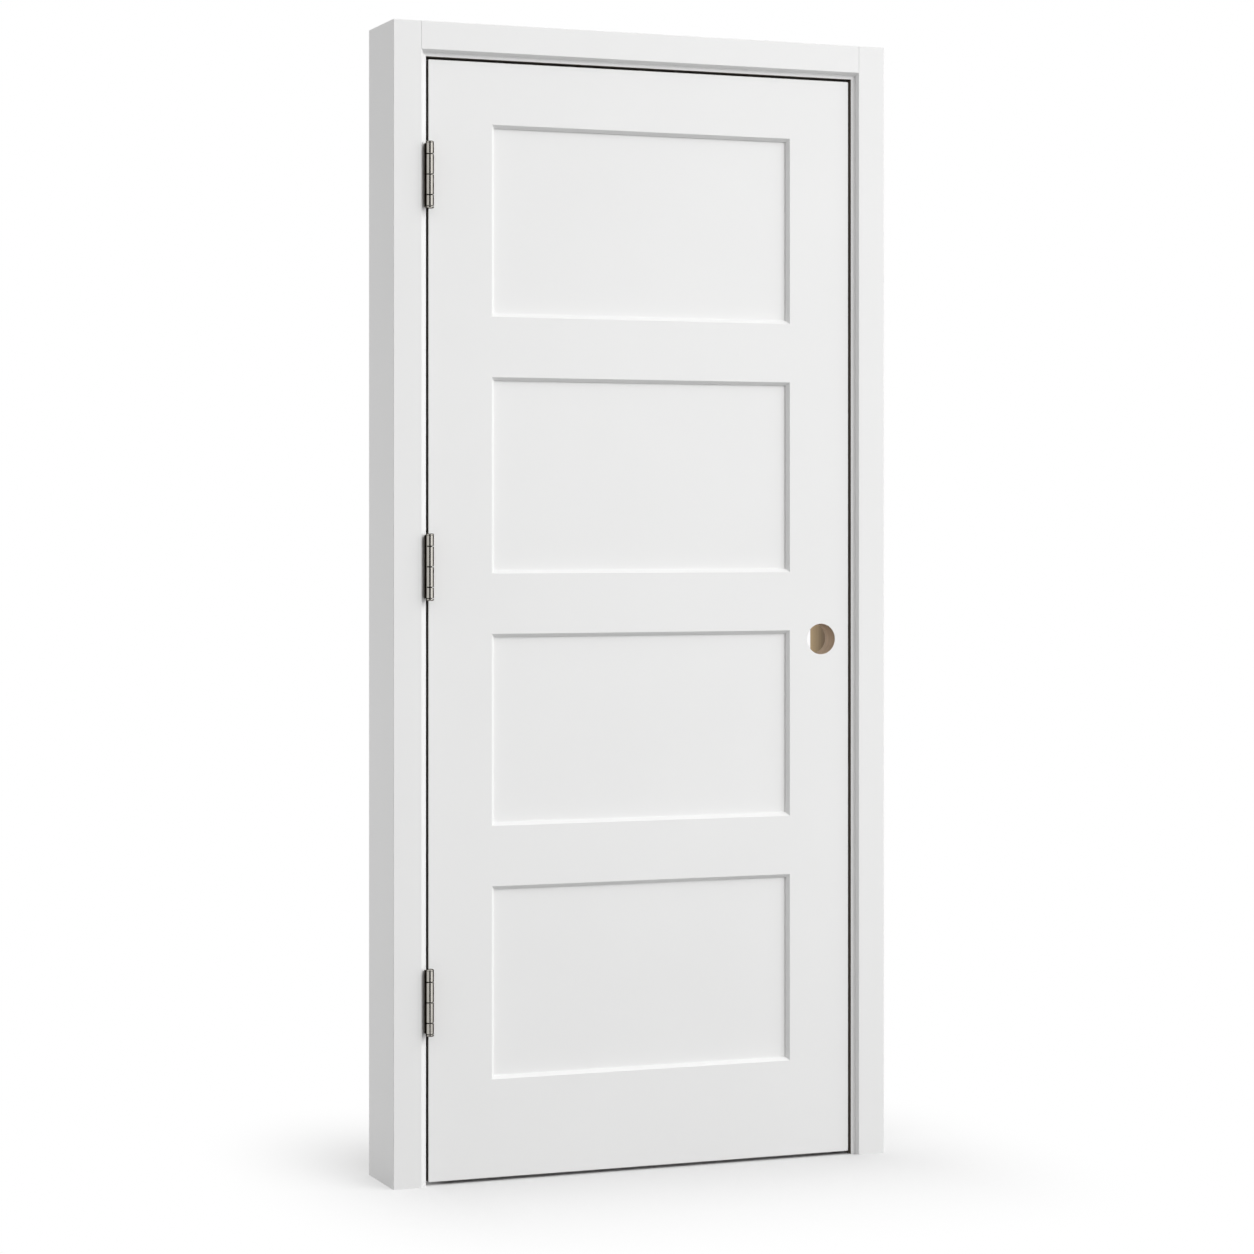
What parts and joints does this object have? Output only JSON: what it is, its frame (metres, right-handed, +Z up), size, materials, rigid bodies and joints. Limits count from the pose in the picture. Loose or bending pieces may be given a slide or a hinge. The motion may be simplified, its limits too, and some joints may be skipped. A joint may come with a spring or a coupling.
{
  "type": "four-panel door in a frame",
  "caption": "White four-panel timber door hung on butt hinges in a heavy moulded frame, bored for a lock, opening outwards on the side of the hinge barrels.",
  "frame": {"origin": "foot of the hinge jamb's outer face, in the middle of the frame's depth", "axes": "+X across the doorway from the hinge side to the lock side, +Y through the wall away from the hinge barrels, +Z up"},
  "size_m": [0.978, 0.1615, 2.106],
  "materials": {
    "frame_paint": "satin white paint",
    "leaf_paint": "satin white paint",
    "stop_timber": "bare planed timber",
    "hinge_nickel": "satin nickel plate"
  },
  "bodies": {
    "frame": {"hinge_jamb": "frame_paint", "strike_jamb": "frame_paint", "head_jamb": "frame_paint", "hinge_side_stop": "stop_timber", "strike_side_stop": "stop_timber", "head_stop": "stop_timber", "top_hinge_frame_leaf": "hinge_nickel", "top_hinge_pin": "hinge_nickel", "middle_hinge_frame_leaf": "hinge_nickel", "middle_hinge_pin": "hinge_nickel", "bottom_hinge_frame_leaf": "hinge_nickel", "bottom_hinge_pin": "hinge_nickel"},
    "leaf": {"hinge_stile": "leaf_paint", "lock_stile": "leaf_paint", "top_rail": "leaf_paint", "upper_cross_rail": "leaf_paint", "middle_cross_rail": "leaf_paint", "lower_cross_rail": "leaf_paint", "bottom_rail": "leaf_paint", "top_panel": "leaf_paint", "upper_panel": "leaf_paint", "lower_panel": "leaf_paint", "bottom_panel": "leaf_paint", "top_hinge_door_leaf": "hinge_nickel", "middle_hinge_door_leaf": "hinge_nickel", "bottom_hinge_door_leaf": "hinge_nickel"}
  },
  "joints": [
    {"name": "door_swing", "type": "hinge", "parent": "frame", "child": "leaf", "pos_m": [0.0675, -0.079, 1], "axis": [0, 0, -1], "range_deg": [0, 170]}
  ]
}
